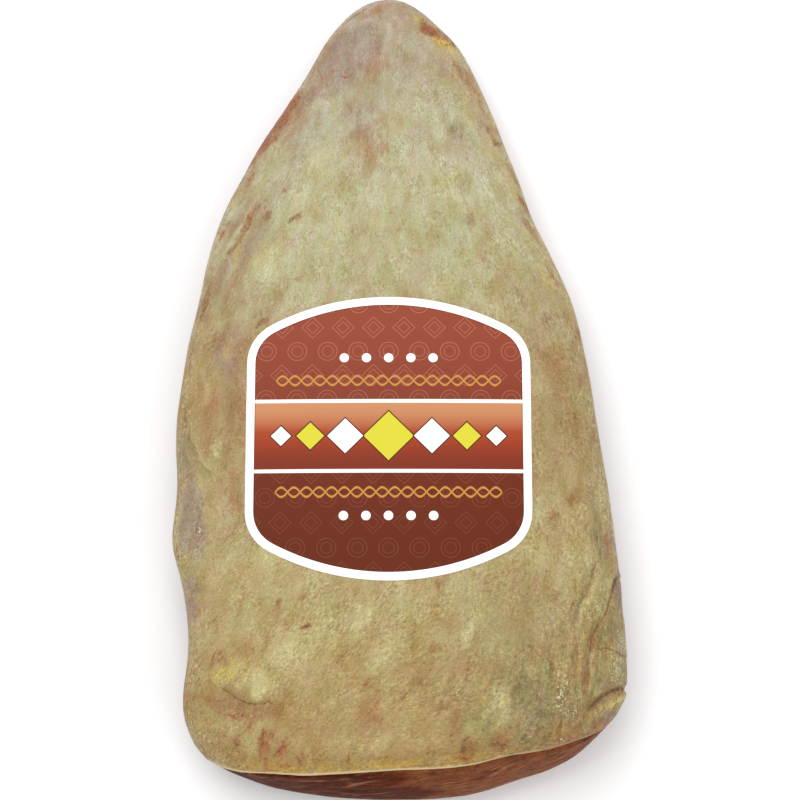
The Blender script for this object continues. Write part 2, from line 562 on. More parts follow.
# Bands of the folds: points from above, half width, strength
PALE_BANDS = [
    ([(71, -76), (69, -80.6), (67, -85), (64.5, -90)], 1.1, 0.7),
    ([(76.9, -75), (76.3, -81), (74.3, -86.6), (72.3, -90.4)], 0.7, 0.8),
    ([(65, -95.7), (64, -101), (63.6, -108), (64, -112.6), (64.6, -118)], 0.5, 0.7),
    ([(66, -86), (64, -90), (63, -96)], 0.8, 0.5),
    ([(78.5, -118.5), (74, -121.5), (70, -124.5)], 1.3, 0.9),
    ([(-75.4, -20), (-73.8, -26), (-71, -32.4), (-68.3, -36.3), (-64.9, -39.8)], 0.7, 0.6),
    ([(68, -104), (68.5, -110), (67.5, -116)], 0.6, 0.5),
]
DIM_BANDS = [
    ([(70, -72.6), (68, -78.8), (65.5, -83.6), (63.3, -87.2), (62, -92)], 0.9, 0.8),
    ([(78, -76), (76.5, -81), (74.6, -87.3), (71.5, -91.8), (69.2, -95.6)], 0.9, 0.7),
    ([(63, -98.6), (62.6, -105.7), (62.5, -112.7)], 0.7, 0.6),
    ([(80, -114.4), (76.8, -116), (73.8, -118), (70, -121), (67.6, -122)], 1.1, 0.9),
    ([(-76.5, -24), (-74.5, -30), (-72, -35), (-68, -39)], 1.0, 0.5),
    ([(79.5, -76), (79.8, -88)], 1.8, 0.6), ([(-61, -116), (-55, -121), (-47, -123)], 1.6, 0.4),
    ([(67, -104), (66.6, -112), (66, -118)], 0.8, 0.5),
]
PINK_BANDS = [
    ([(-53, 63), (-55, 50), (-57.5, 41), (-60, 34), (-63, 24)], 3.8, 1.0),
    ([(-60, 56), (-66, 34), (-70, 22)], 3.2, 1.0), ([(-23, 134), (-31, 119), (-38, 106)], 3.4, 0.5),
    ([(-70, -16), (-70, -30)], 2.4, 0.4), ([(-37, 110), (-45, 98), (-52, 87), (-58, 72)], 3.8, 0.9),
    ([(-59, 14), (-60, -10), (-59, -40), (-59, -66)], 4.2, 0.75),
    ([(-76, -108), (-74, -118), (-68, -130)], 2.6, 0.35),
    ([(-75, -117), (-68, -118.5), (-63, -121)], 2.6, 0.5),
    ([(-60, -123), (-50, -126), (-42, -122)], 3.4, 0.5), ([(54, 4), (56, -30), (56, -70)], 4.0, 0.4),
    ([(45, -74), (46, -98)], 3.6, 0.3), ([(66, -30), (71, -60)], 4.0, 0.3),
]
WARM_BANDS = [
    ([(10, 143), (22, 122), (32, 103), (41, 82), (50, 61), (59, 42), (66, 20)], 5.0, 0.85),
    ([(67, 14), (72, -10)], 4.0, 0.5), ([(-70, 22), (-74, 0), (-75, -14)], 3.0, 0.5),
]

# The upper rim of the cut, from above
CUT_LINE = [
    (-66, -138), (-56, -142), (-41, -143.4), (-22, -143.4), (1, -142.4), (27, -140.4), (38, -137.6),
    (57, -134.4), (74, -126),
]

# The lobe at the lower left and the folded fat at the lower right, written as marks are, and their rise
LOBE = (-54, -111, 10, 6, 158, 1.0)
LOBE_RISE = 0.9
FOLDED = (70, -98, 25, 8, 94, 0.8)
FOLD_RISE = 0.5

# Relief: depth, breadth, seed and stretch of each kind of bump
SWELLS = (0.45, 15, 1)
LUMPS = (0.25, 6.5, 2)
DIMPLES = (0.1, 2.8, 3)
FIBRES = (0.12, 2.2, 4, (1, 5, 1))
SIDE_LUMPS = (0.2, 5, 5)
SIDE_DIMPLES = (0.12, 2.4, 6)
FOLD_RIDGES = (0.35, 2.8, 8, (1, 8, 1))
MEAT_SWELLS = (0.4, 16, 11)
MEAT_BUNDLES = (0.2, 2.2, 12, (7, 7, 1))
MEAT_FIBRES = (0.12, 1.2, 13, (7, 7, 1))
SIDE_SAG = 0.9

# Levels of y: where the cut end starts and is full, and the ends of the line that the sides turn from
CUT_STARTS, CUT_FULL = -126, -132
MIDDLE_LINE = (-88, 119)

# How the fat's fibres run: they fan out over the length above y 0, and lean below a level of y
FAN_LENGTH = 100.0
FAN_NARROWING = 0.0042
LEAN_BELOW = -55.0
LEAN = 0.5

# The label's outline and thickness
LABEL_MIDDLE = (-3.3, -25.7)
LABEL_HALF = (51.1, 52.2)
LABEL_ARCH = 15.8
LABEL_CORNER = 16
LABEL_BORDER = 3
LABEL_LIFT = 0.5
LABEL_EDGE_DROP = 0.12
LABEL_SKIRT = 0.3
LABEL_RINGS = 26

# The label's print, measured from its middle
BELT_HALF = 12.2
BELT_EDGE = 1.3
BRAID_AWAY = 20.5
BRAID_HALF = 40.4
BRAID_WAVE = 1.7
BRAID_RADIANS_A_MM = 0.7
DOTS_AWAY = 29.0
DOTS_HALF = 20.0
DOT_PITCH = 8.0
DOT_RADIUS = 1.675


def mark(points, warp, x, y, length, width, turn, strength):
    """A soft-edged oval, whose outline wanders."""
    c, s = math.cos(math.radians(turn)), math.sin(math.radians(turn))
    reach = min(2.2, 0.45 * width + 0.3)
    dx = points[:, 0] + reach * warp[0] - x
    dy = points[:, 1] + reach * warp[1] - y
    u = (dx * c + dy * s) / length
    v = (dy * c - dx * s) / width
    return strength * rise(np.hypot(u, v), 1.5, 0.35)


def marks(points, seed, listed):
    warp = [noise(points, 3.5, seed + k) + 0.5 * noise(points, 1.6, seed + 7 + k) for k in (0, 1)]
    total = np.zeros(len(points))
    for one in listed:
        total = np.maximum(total, mark(points, warp, *one))
    return total


def away_from(points, path):
    """Distance in plan to a path of straight pieces, below zero on its right."""
    nearest = np.full(len(points), 1e9)
    side = np.ones(len(points))
    for (ax, ay), (bx, by) in zip(path, path[1:]):
        dx, dy = bx - ax, by - ay
        px, py = points[:, 0] - ax, points[:, 1] - ay
        along = np.clip((px * dx + py * dy) / (dx * dx + dy * dy), 0, 1)
        away = np.hypot(px - along * dx, py - along * dy)
        closer = away < nearest
        nearest = np.where(closer, away, nearest)
        side = np.where(closer, np.where(dx * py - dy * px < 0, -1, 1), side)
    return nearest * side


def creased(points, listed):
    """For each point: how far the nearest line is in half widths, how dark it is, and all the relief."""
    wander = np.stack([noise(points, 5, 61), noise(points, 5, 62), 0 * points[:, 0]], axis=1)
    nearest = np.full(len(points), 1e9)
    across = np.full(len(points), 9.0)
    dark = np.zeros(len(points))
    relief = np.zeros(len(points))
    for path, width, depth, darkness, fold in listed:
        away = away_from(points + 0.5 * wander, path)
        closer = np.abs(away) < nearest
        nearest = np.where(closer, np.abs(away), nearest)
        across = np.where(closer, away / width, across)
        dark = np.where(closer, darkness * np.exp(-((away / CREASE_REACH) ** 2)), dark)
        relief -= depth * np.exp(-((away / (width + 0.5)) ** 2))
        relief += fold * np.exp(-((away / 3) ** 2)) * rise(away, -0.6, 0.6)
    return np.clip(across, -9, 9), dark, relief


def banded(points, listed):
    """How strongly a band with soft edges runs through each point."""
    wander = np.stack([noise(points, 6, 63), noise(points, 6, 64), 0 * points[:, 0]], axis=1)
    total = np.zeros(len(points))
    for path, width, strength in listed:
        away = away_from(points + 0.7 * wander, path)
        total = np.maximum(total, strength * np.exp(-((away / width) ** 2)))
    return total


def under_label(points):
    """1 where the label covers the fat, 0 clear of it."""
    dx = np.abs(points[:, 0] - LABEL_MIDDLE[0]) - LABEL_HALF[0]
    dy = np.abs(points[:, 1] - LABEL_MIDDLE[1]) - LABEL_HALF[1]
    return rise(np.maximum(dx, dy), 4, -1)


# Fat


def fat_is_hidden(face):
    """The fat's inner skin lies on the lean and never shows."""
    middle = face.calc_center_median() / MM
    outward_x = middle.x
    outward_y = min(0, middle.y - MIDDLE_LINE[0]) + max(0, middle.y - MIDDLE_LINE[1])
    length = math.hypot(outward_x, outward_y) or 1
    outward = (face.normal.x * outward_x + face.normal.y * outward_y) / length
    return face.normal.z < 0 and outward < 0.25


def fat_keeps(points):
    """The rim of the cut stays fairly sharp."""
    return 0.8 * rise(points[:, 1], -122, -130) * rise(points[:, 2], 40, 36)


def fat_bumps(points, slope, folded):
    """Swells all over, finer bumps on top, coarser ones down the sides, ridges where it is folded."""
    level = 1 - 0.85 * rise(slope, 0.35, 0.8)
    low = rise(slope, 0.95, 1.3)
    height = bumps(points, *SWELLS)
    height += level * (bumps(points, *LUMPS) + bumps(points, *DIMPLES) + bumps(points, *FIBRES))
    height += low * (bumps(points, *SIDE_LUMPS) + bumps(points, *SIDE_DIMPLES))
    return height + folded * bumps(points, *FOLD_RIDGES)


def fat_moved(points, normal, slope, height, weight):
    """The fat's points with their relief. The rim is plumper, most at the right, and the side sags."""
    moved = points + normal * (height * weight * (1 - under_label(points)))[:, None]
    plump = (0.35 + 0.3 * rise(points[:, 0], -20, 30)) * rise(slope, 0.3, 0.8)
    plump *= rise(points[:, 1], -132, -122)
    moved[:, :2] += normal[:, :2] * (plump * weight)[:, None]
    moved[:, 2] -= weight * SIDE_SAG * rise(slope, 1.1, 1.6)
    return moved


def shape_fat(mesh, shown, facing):
    """Gives the fat its relief, and attributes that say where the material has which stain."""
    points, normal = coordinates(mesh), normals(mesh)
    slope = 1 - normal[:, 2]
    on_top = rise(slope, 1.05, 0.8)
    straight = [np.zeros(len(points))] * 2
    folded = mark(points, straight, *FOLDED) * on_top
    height = fat_bumps(points, slope, folded) + LOBE_RISE * mark(points, straight, *LOBE)
    for name, listed in (("one", CREASES[::2]), ("two", CREASES[1::2])):
        across, dark, relief = creased(points, listed)
        height += relief
        set_attribute(mesh, "across_" + name, across)
        set_attribute(mesh, "dark_" + name, dark * on_top)
    pale, dim = banded(points, PALE_BANDS), banded(points, DIM_BANDS)
    height += FOLD_RISE * (pale - dim)
    set_coordinates(mesh, fat_moved(points, normal, slope, height, shown.astype(float)))
    set_attribute(mesh, "slope", slope)
    set_attribute(mesh, "folded", folded)
    set_attribute(mesh, "pale", pale * on_top)
    set_attribute(mesh, "dim", dim * on_top)
    set_attribute(mesh, "pink", banded(points, PINK_BANDS))
    set_attribute(mesh, "warm", banded(points, WARM_BANDS))
    set_attribute(mesh, "cut", rise(-facing[:, 1], 0.78, 0.95) * rise(points[:, 1], CUT_STARTS, CUT_FULL))
    set_attribute(mesh, "from_cut", np.clip(np.abs(away_from(points, CUT_LINE)), 0, 20))
    for seed, (name, listed) in enumerate(MARKS.items()):
        set_attribute(mesh, name, marks(points, 100 + 20 * seed, listed) * on_top)


def leaning(shader):
    """The fat's fibres fan out from the tip, and lean to the right at the left of the wide end."""
    x, y, z = shader.split(shader.place)
    below = shader.math("MINIMUM", shader.plus(y, -LEAN_BELOW), 0.0)
    lean = shader.times(below, shader.step(x, 80.0, -30.0), LEAN)
    above = shader.math("MINIMUM", shader.math("MAXIMUM", y, 0.0), FAN_LENGTH)
    narrowing = shader.minus(1.0, shader.times(above, FAN_NARROWING))
    across = shader.minus(shader.math("DIVIDE", x, narrowing), lean)
    combined = shader.node("ShaderNodeCombineXYZ", {"X": across, "Y": y, "Z": z})
    return combined.outputs["Vector"]


def fat_colour(shader):
    """The fat's colours from the tip down to the cut, with blots of cooler, redder and paler fat."""
    x, y, _ = shader.split(shader.place)
    along = shader.step(shader.plus(y, shader.sway(60.0, 24, 3, 1)), -160.0, 160.0)
    colour = shader.ramp(
        along,
        [
            (0.0, srgb(162, 139, 88)),
            (0.2, srgb(169, 154, 108)),
            (0.4, srgb(158, 138, 94)),
            (0.55, srgb(157, 134, 94)),
            (0.68, srgb(169, 162, 125)),
            (0.82, srgb(174, 169, 135)),
            (0.93, srgb(172, 165, 137)),
            (1.0, srgb(168, 151, 131)),
        ],
    )
    # Size of the blots, their stretch, seed, where they start and are full, how much of them shows, tone
    blots = [
        (11, 1.6, 2, 0.48, 0.64, 0.8, (0.96, 1.02, 0.96, 1)),
        (6, 1.6, 13, 0.5, 0.64, 0.9, (0.91, 0.86, 0.72, 1)),
        (10, 1.6, 3, 0.5, 0.68, 0.9, (0.94, 0.86, 0.75, 1)),
        (9, 1.8, 4, 0.5, 0.66, 0.9, (1.06, 1.1, 1.19, 1)),
        (8, 1.6, 5, 0.54, 0.7, 0.7, (0.98, 0.88, 0.94, 1)),
    ]
    for size, stretch, seed, low, high, amount, tone in blots:
        blot = shader.times(shader.blots(low, high, size, 4, (1, stretch, 1), seed=seed), amount)
        colour = shader.mix(blot, colour, tone, "MULTIPLY")
    lower_right = shader.times(shader.step(x, 0.0, 45.0), shader.step(y, -60.0, -105.0), 0.42)
    return shader.mix(lower_right, colour, srgb(120, 106, 66))


def fat_grain(shader, colour):
    """Fine fibres and grain in brightness and hue, stronger in patches and towards the lower right."""
    depth = shader.noise(5, 4, (1, 2.2, 1), seed=9, roughness=0.55)
    colour = shader.shade(colour, depth, (0.9, 0.84, 0.71), (1.1, 1.15, 1.25))
    hue = shader.noise(3.4, 2, (1, 2, 1), seed=14)
    colour = shader.shade(colour, hue, (1.035, 0.965, 1.03), (0.965, 1.03, 0.93))
    x, y, _ = shader.split(shader.plan)
    down = shader.times(shader.step(y, 60.0, -100.0), 0.08)
    right = shader.times(shader.step(x, -15.0, 75.0), 0.08)
    patches = shader.plus(shader.noise(9, 3, seed=18), shader.plus(down, right))
    rough = shader.step(patches, 0.46, 0.7)
    fibre = shader.noise(1.0, 4, (1, 1.6, 1), seed=6, roughness=0.66)
    grain = shader.noise(0.55, 2, (1, 1.3, 1), seed=7, roughness=0.7)
    coarse = shader.shade(colour, fibre, (0.67, 0.65, 0.61), (1.3, 1.32, 1.35))
    coarse = shader.shade(coarse, grain, (0.7, 0.69, 0.68), (1.28, 1.28, 1.29))
    calm = shader.shade(colour, fibre, (0.89, 0.88, 0.87), (1.09, 1.1, 1.11))
    calm = shader.shade(calm, grain, (0.8, 0.79, 0.78), (1.18, 1.18, 1.19))
    return shader.mix(rough, calm, coarse), grain, fibre


def fat_wrinkles(shader, colour):
    """Short fine strokes, dark ones and pale ones, in patches, and small and larger brown specks."""
    strokes = [
        (1.3, 8, 10, 0.41, 0.33, (0.66, 0.56, 0.46, 1)),
        (1.3, 12, 13, 0.6, 0.68, (1.2, 1.24, 1.28, 1)),
        (0.8, 16, 17, 0.39, 0.32, (0.58, 0.48, 0.4, 1)),
    ]
    for size, seed, patch_seed, low, high, tone in strokes:
        stroke = shader.noise(size, 2, (1, 2.6, 1), seed=seed, distortion=0.6)
        patches = shader.blots(0.48, 0.62, 10, 3, seed=patch_seed)
        part = shader.times(shader.step(stroke, low, high), patches, 0.55)
        colour = shader.mix(part, colour, tone, "MULTIPLY")
    wander = shader.noise(1.4, 3, seed=51, roughness=0.7)
    specks = [((0.3, 0.17, 0.3), 0.8, 0.34, 0.17), ((0.13, 0.07, 0.13), 0.76, 0.26, 0.12)]
    for pitch, share, reach, heart in specks:
        place = shader.node("ShaderNodeTexVoronoi", {"Vector": shader.scaled(shader.place, pitch)})
        away = shader.plus(place.outputs["Distance"], shader.times(wander, 0.4))
        away = shader.minus(away, 0.2)
        chosen = shader.step(shader.split(place.outputs["Color"])[0], share, share + 0.02)
        halo = shader.times(shader.step(away, reach, 0.04), chosen, 0.85)
        colour = shader.mix(halo, colour, (0.84, 0.7, 0.5, 1), "MULTIPLY")
        dark = shader.times(shader.step(away, heart, 0.02), chosen, 0.85)
        colour = shader.mix(dark, colour, (0.5, 0.36, 0.24, 1), "MULTIPLY")
    return colour


def fat_marks(shader, colour):
    """Stains with edges that follow the grain: soft for the pale ones, ragged for the red ones."""
    broken = shader.blots(0.3, 0.6, 5, 4, (1, 2, 1), seed=19, roughness=0.66)
    colour = shader.coat(colour, srgb(174, 146, 92), shader.attribute("warm"), broken, 0.8)
    broken = shader.blots(0.2, 0.6, 4, 4, (1, 2, 1), seed=15)
    pink = shader.times(shader.attribute("pink"), broken)
    colour = shader.mix(pink, colour, (0.8, 0.6, 0.55, 1), "MULTIPLY")
    # Stain, how much of it shows, tone, size of its blots, raggedness, where it starts and is full
    tones = [
        ("grey", 0.6, srgb(130, 119, 88), 3.4, 2.6, 0.0, 1.1),
        ("lilac", 0.75, srgb(142, 120, 110), 3.4, 2.6, 0.0, 1.1),
        ("cream", 0.65, srgb(192, 186, 134), 2.6, 2.0, 0.0, 1.1),
        ("yellow", 0.6, srgb(184, 168, 88), 2.6, 2.6, 0.0, 1.0),
        ("rosy", 0.58, srgb(152, 104, 68), 2.4, 3.4, 0.0, 1.1),
        ("rust", 0.7, srgb(138, 90, 46), 1.8, 4.4, 0.05, 0.85),
        ("red", 0.6, srgb(160, 115, 74), 2.4, 3.4, 0.0, 0.7),
        ("red", 0.75, srgb(151, 92, 47), 1.4, 4.4, 0.4, 1.1),
        ("red", 0.65, srgb(150, 82, 42), 2.0, 4.4, 1.0, 1.5),
        ("red", 0.6, srgb(104, 54, 30), 1.6, 4.4, 1.2, 1.8),
        ("red", 0.5, srgb(186, 110, 64), 1.6, 4.4, 1.6, 2.3),
        ("yellow", 0.75, srgb(206, 172, 82), 1.4, 4.4, 0.9, 1.4),
    ]
    for seed, (name, amount, tone, size, raggedness, low, high) in enumerate(tones):
        patchy = shader.noise(size, 4, (1, 2.2, 1), seed=20 + seed, roughness=0.75)
        breakup = shader.graded(patchy, raggedness, 1 - raggedness / 2)
        part = shader.step(shader.times(shader.attribute(name), breakup), low, high)
        colour = shader.coat(colour, tone, part, amount)
    stained = shader.math("MAXIMUM", shader.attribute("rust"), shader.attribute("red"))
    strokes = shader.blots(0.44, 0.36, 0.9, 2, (1, 2.4, 1), seed=36, distortion=0.5)
    strokes = shader.times(strokes, shader.step(stained, 0.15, 0.7), 0.72)
    return shader.mix(strokes, colour, srgb(98, 60, 34))


def fat_lines(shader, colour):
    """Brown creases, and the dim and pale bands of the folds."""
    uneven = shader.noise(2.4, 4, (1, 2, 1), seed=32, roughness=0.7)
    for name, amount, tone in (("dim", 0.75, srgb(108, 82, 54)), ("pale", 0.75, srgb(190, 174, 118))):
        part = shader.times(shader.attribute(name), shader.step(uneven, 0.25, 0.6), amount)
        colour = shader.mix(part, colour, tone)
    ragged = shader.sway(2.0, 1.6, 4, 30)
    broken = shader.blots(0.25, 0.5, 3.0, 3, seed=31)
    for name in ("one", "two"):
        across = shader.absolute(shader.plus(shader.attribute("across_" + name), ragged))
        line = shader.times(shader.step(across, 1.2, 0.2), shader.attribute("dark_" + name), broken)
        colour = shader.mix(line, colour, srgb(110, 66, 38))
    return colour


def fat_sides(shader, colour):
    """The rim is browner and flecked, and the side is redder towards the lean."""
    slope = shader.attribute("slope")
    uneven = shader.plus(slope, shader.sway(0.8, 4, 3, 40))
    later = shader.times(shader.step(shader.split(shader.plan)[0], -30.0, 40.0), 0.28)
    rim = shader.times(shader.step(shader.minus(uneven, later), 0.45, 0.95), 0.45)
    colour = shader.mix(rim, colour, srgb(134, 96, 60))
    low = shader.times(shader.step(uneven, 0.75, 1.2), 0.75)
    colour = shader.mix(low, colour, srgb(112, 56, 38))
    near = shader.times(shader.step(uneven, 0.12, 0.45), shader.step(slope, 0.95, 0.7))
    for seed, amount, tone in ((48, 0.62, srgb(208, 188, 138)), (49, 0.66, srgb(102, 72, 42))):
        flecks = shader.blots(0.56, 0.62, 1.3, 3, (1, 1.6, 1), seed=seed, roughness=0.7)
        colour = shader.coat(colour, tone, flecks, near, amount)
    streaky = shader.noise(2.4, 4, (4, 4, 1), seed=52, roughness=0.7)
    side = shader.shade(colour, streaky, (0.8, 0.7, 0.62), (1.2, 1.26, 1.3))
    return shader.mix(shader.step(slope, 0.7, 1.0), colour, side)


def cut_face(shader, colour):
    """The knife's cut through the fat is clean and pale, with a few pink veins."""
    veins = shader.blots(0.6, 0.68, 3, 3, (3, 1, 1), seed=41)
    face = shader.coat(srgb(212, 188, 132), srgb(180, 122, 88), veins, 0.35)
    face = shader.tint(face, shader.noise(2.2, 4, (2, 1, 1), seed=42), 0.16)
    x = shader.split(shader.plan)[0]
    right = shader.step(shader.plus(x, shader.sway(40.0, 2.6, 4, 43)), 22.0, 56.0)
    face = shader.coat(face, srgb(146, 104, 66), right, 0.85)
    return shader.coat(colour, face, shader.attribute("cut"), 0.92)


def fat_by_cut(shader, colour):
    """Along the cut the fat is browner, and a yellow line runs just above it."""
    from_cut = shader.attribute("from_cut")
    uneven = shader.graded(shader.noise(5, 4, seed=45, roughness=0.7), 7.0, from_cut)
    x = shader.split(shader.plan)[0]
    brown = shader.times(shader.step(uneven, 13.0, 5.0), shader.step(x, -75.0, -45.0), 0.4)
    colour = shader.mix(brown, colour, srgb(144, 104, 54))
    patchy = shader.blots(0.3, 0.55, 6, 3, seed=47)
    level = shader.step(shader.attribute("slope"), 0.7, 0.3)
    within = shader.times(shader.step(x, -64.0, -46.0), shader.step(x, 52.0, 32.0), level)
    yellow = shader.times(shader.step(uneven, 6.8, 3.6), patchy, within, 0.6)
    return shader.mix(yellow, colour, srgb(188, 157, 60))


def fat_streaks(shader, colour):
    """Upright streaks of many tones at the lower right, and dark ones where the fat is grey."""
    x, y, _ = shader.split(shader.plan)
    corner = shader.times(shader.step(x, 12.0, 45.0), shader.step(y, -88.0, -112.0))
    corner = shader.math("MAXIMUM", corner, shader.attribute("folded"))
    streak = shader.noise(1.5, 4, (1, 7, 1), seed=46, roughness=0.7)
    streaky = shader.shade(colour, streak, (0.62, 0.56, 0.5), (1.4, 1.46, 1.46))
    hue = shader.noise(2.6, 3, (1, 5, 1), seed=53, roughness=0.6)
    streaky = shader.shade(streaky, hue, (0.84, 1.02, 0.98), (1.16, 0.98, 0.96))
    colour = shader.mix(corner, colour, streaky)
    part = shader.times(shader.step(streak, 0.5, 0.64), shader.attribute("grey"), 0.75)
    return shader.mix(part, colour, srgb(92, 84, 62)), shader.times(streak, corner)


def fat_material():
    shader = Shader("fat")
    colour = fat_colour(shader)
    shader.place = leaning(shader)
    colour = fat_by_cut(shader, colour)
    colour = fat_sides(shader, colour)
    colour = fat_marks(shader, colour)
    colour, streaks = fat_streaks(shader, colour)
    colour = fat_lines(shader, colour)
    colour = fat_wrinkles(shader, colour)
    colour, grain, fibre = fat_grain(shader, colour)
    colour = cut_face(shader, colour)
    wet = shader.attribute("wet")
    beads = shader.noise(0.5, 1, (1, 1.5, 1), seed=50)
    crowded = shader.plus(beads, shader.times(wet, 0.1))
    glints = shader.times(shader.step(wet, 0.05, 0.3), shader.step(crowded, 0.66, 0.74), 0.7)
    gaps = shader.times(wet, shader.step(beads, 0.46, 0.36), 0.6)
    colour = shader.mix(gaps, colour, srgb(112, 92, 60))
    colour = shader.mix(glints, colour, srgb(226, 214, 180))
    uncut = shader.minus(1.0, shader.times(shader.attribute("cut"), 0.8))
    normal = shader.bump(shader.times(grain, uncut), 0.2)
    normal = shader.bump(shader.times(fibre, uncut), 0.3, normal)
    normal = shader.bump(streaks, 0.5, normal)
    normal = shader.bump(shader.times(beads, wet), 0.5, normal)
    roughness = shader.minus(shader.graded(grain, 0.25, 0.38), shader.times(wet, 0.33))
    return shader.finish(colour, roughness, normal, 0.35, 0.12, (1, 0.6, 0.35))


# Lean


def meat_is_hidden(face):
    """The lean's top lies under the fat, and its flat underside needs no fine faces."""
    lying = face.normal.z > 0.55 or face.normal.z < -0.98
    middle = face.calc_center_median() / MM
    upper = middle.z > 18 and face.normal.z > 0.3 and middle.y > -138
    return lying or upper


def meat_keeps(points):
    """The flat that the piece rests on stays flat."""
    return rise(points[:, 2], 1, 0.2)


def shape_meat(mesh, shown, facing):
    weight = shown.astype(float)
    points, normal = coordinates(mesh), normals(mesh)
    free = weight * rise(points[:, 2], 0.2, 2.5)
    height = bumps(points, *MEAT_SWELLS) + bumps(points, *MEAT_BUNDLES) + bumps(points, *MEAT_FIBRES)
    points = points + normal * (height * free)[:, None]
    plump = (0.5 + 0.2 * rise(points[:, 0], 10, 50)) * rise(points[:, 1], -112, -128)
    points[:, :2] += normal[:, :2] * (plump * free)[:, None]
    set_coordinates(mesh, points)
    front = rise(-facing[:, 1], 0.25, 0.6) * rise(points[:, 1], -118, -130)
    set_attribute(mesh, "front", front)


def sloping(shader, x, y, z, slope):
    """A place whose levels climb to the right."""
    level = shader.minus(z, shader.times(x, slope))
    return shader.node("ShaderNodeCombineXYZ", {"X": x, "Y": y, "Z": level}).outputs["Vector"]


def meat_material():
    """Dark moist lean: bundles of fibres with thin pale strands, and a film of skin on the sides."""
    shader = Shader("lean")
    x, y, z = shader.split(shader.place)
    shader.place = sloping(shader, x, y, z, 0.14)
    front = shader.attribute("front")
    broad = shader.plus(shader.noise(8, 3, (2.6, 2.6, 1), seed=3), shader.times(x, front, 0.0085))
    tones = [(0, srgb(76, 31, 9)), (0.5, srgb(91, 36, 13)), (1, srgb(126, 74, 46))]
    colour = shader.ramp(shader.step(broad, 0.3, 0.75), tones)
    purple = shader.blots(0.5, 0.64, 7, 3, (3, 3, 1), seed=8)
    colour = shader.coat(colour, srgb(68, 29, 20), purple, 0.25)
    bundles = shader.noise(1.9, 5, (3.4, 3.4, 1), seed=1, distortion=0.4, roughness=0.66)
    dark = shader.times(shader.step(bundles, 0.48, 0.68), 0.6)
    colour = shader.mix(dark, colour, srgb(54, 20, 7))
    light = shader.times(shader.step(bundles, 0.46, 0.32), 0.48)
    colour = shader.mix(light, colour, srgb(138, 76, 44))
    ahead = shader.graded(front, 0.75, 0.25)
    strands = [(1.7, 4, 0.3, 0.55, srgb(174, 114, 90)), (1.0, 9, 0.16, 0.5, srgb(170, 112, 84))]
    for size, seed, slope, amount, tone in strands:
        shader.place = sloping(shader, x, y, z, slope)
        fleck = shader.blots(0.56, 0.71, size, 2, (12, 12, 1), seed=seed)
        patches = shader.blots(0.38, 0.6, 12, 3, (2, 2, 1), seed=seed + 1)
        colour = shader.coat(colour, tone, fleck, patches, ahead, amount)
    shader.place = sloping(shader, x, y, z, 0.14)
    fine = shader.noise(0.6, 4, (2.4, 2.4, 1), seed=2, roughness=0.75)
    colour = shader.shade(colour, fine, (0.62, 0.58, 0.52), (1.36, 1.38, 1.3))
    colour = shader.coat(colour, srgb(58, 24, 16), shader.step(z, 6.0, 0.5), 0.35)
    colour = silver_skin(shader, colour, front)
    normal = shader.bump(bundles, 0.35)
    normal = shader.bump(fine, 0.25, normal)
    roughness = shader.graded(shader.noise(3, 2, seed=7), 0.35, 0.36)
    return shader.finish(colour, roughness, normal, 0.06, 0.05, (1, 0.25, 0.15))


def silver_skin(shader, colour, front):
    """A thin pale film and smears of fat lie on the sides, where no knife has been."""
    side = shader.minus(1.0, front)
    streaky = shader.noise(1.6, 4, (5, 5, 1), seed=12, roughness=0.7)
    film = shader.plus(shader.noise(9, 4, (3, 3, 1), seed=6), shader.times(streaky, 0.4))
    film = shader.times(shader.step(film, 0.6, 0.9), side, 0.45)
    colour = shader.mix(film, colour, srgb(158, 112, 102))
    smear = shader.plus(shader.noise(5, 5, (4, 4, 1), seed=15), shader.times(streaky, 0.5))
    smear = shader.times(shader.step(smear, 0.84, 1.06), side, 0.55)
    return shader.mix(smear, colour, srgb(208, 172, 144))


# Label


def label_outline(inset, steps=24):
    """The label's outline in plan, drawn in by an inset: straight sides, arched ends, round corners."""
    half_x, half_y = LABEL_HALF[0] - inset, LABEL_HALF[1] - inset
    corner = LABEL_CORNER - inset
    arch_radius = (LABEL_HALF[0] ** 2 + LABEL_ARCH**2) / (2 * LABEL_ARCH) - inset
    arch_y = half_y - arch_radius
    corner_x = half_x - corner
    corner_y = arch_y + math.sqrt((arch_radius - corner) ** 2 - corner_x**2)
    arch_angle = math.atan2(corner_x, corner_y - arch_y)
    arch = np.linspace(-arch_angle, arch_angle, 2 * steps, endpoint=False)
    turn = np.linspace(arch_angle, math.pi / 2, steps // 3, endpoint=False)
    top = np.stack([arch_radius * np.sin(arch), arch_y + arch_radius * np.cos(arch)], axis=1)
    right = np.stack([corner_x + corner * np.sin(turn), corner_y + corner * np.cos(turn)], axis=1)
    down = np.linspace(corner_y, -corner_y, steps, endpoint=False)
    side = np.stack([np.full(steps, half_x), down], axis=1)
    back = np.linspace(math.pi / 2, arch_angle, steps // 3, endpoint=False)
    low = np.stack([corner_x + corner * np.sin(back), -corner_y - corner * np.cos(back)], axis=1)
    one_half = np.concatenate([top, right, side, low])
    return np.concatenate([one_half, -one_half])


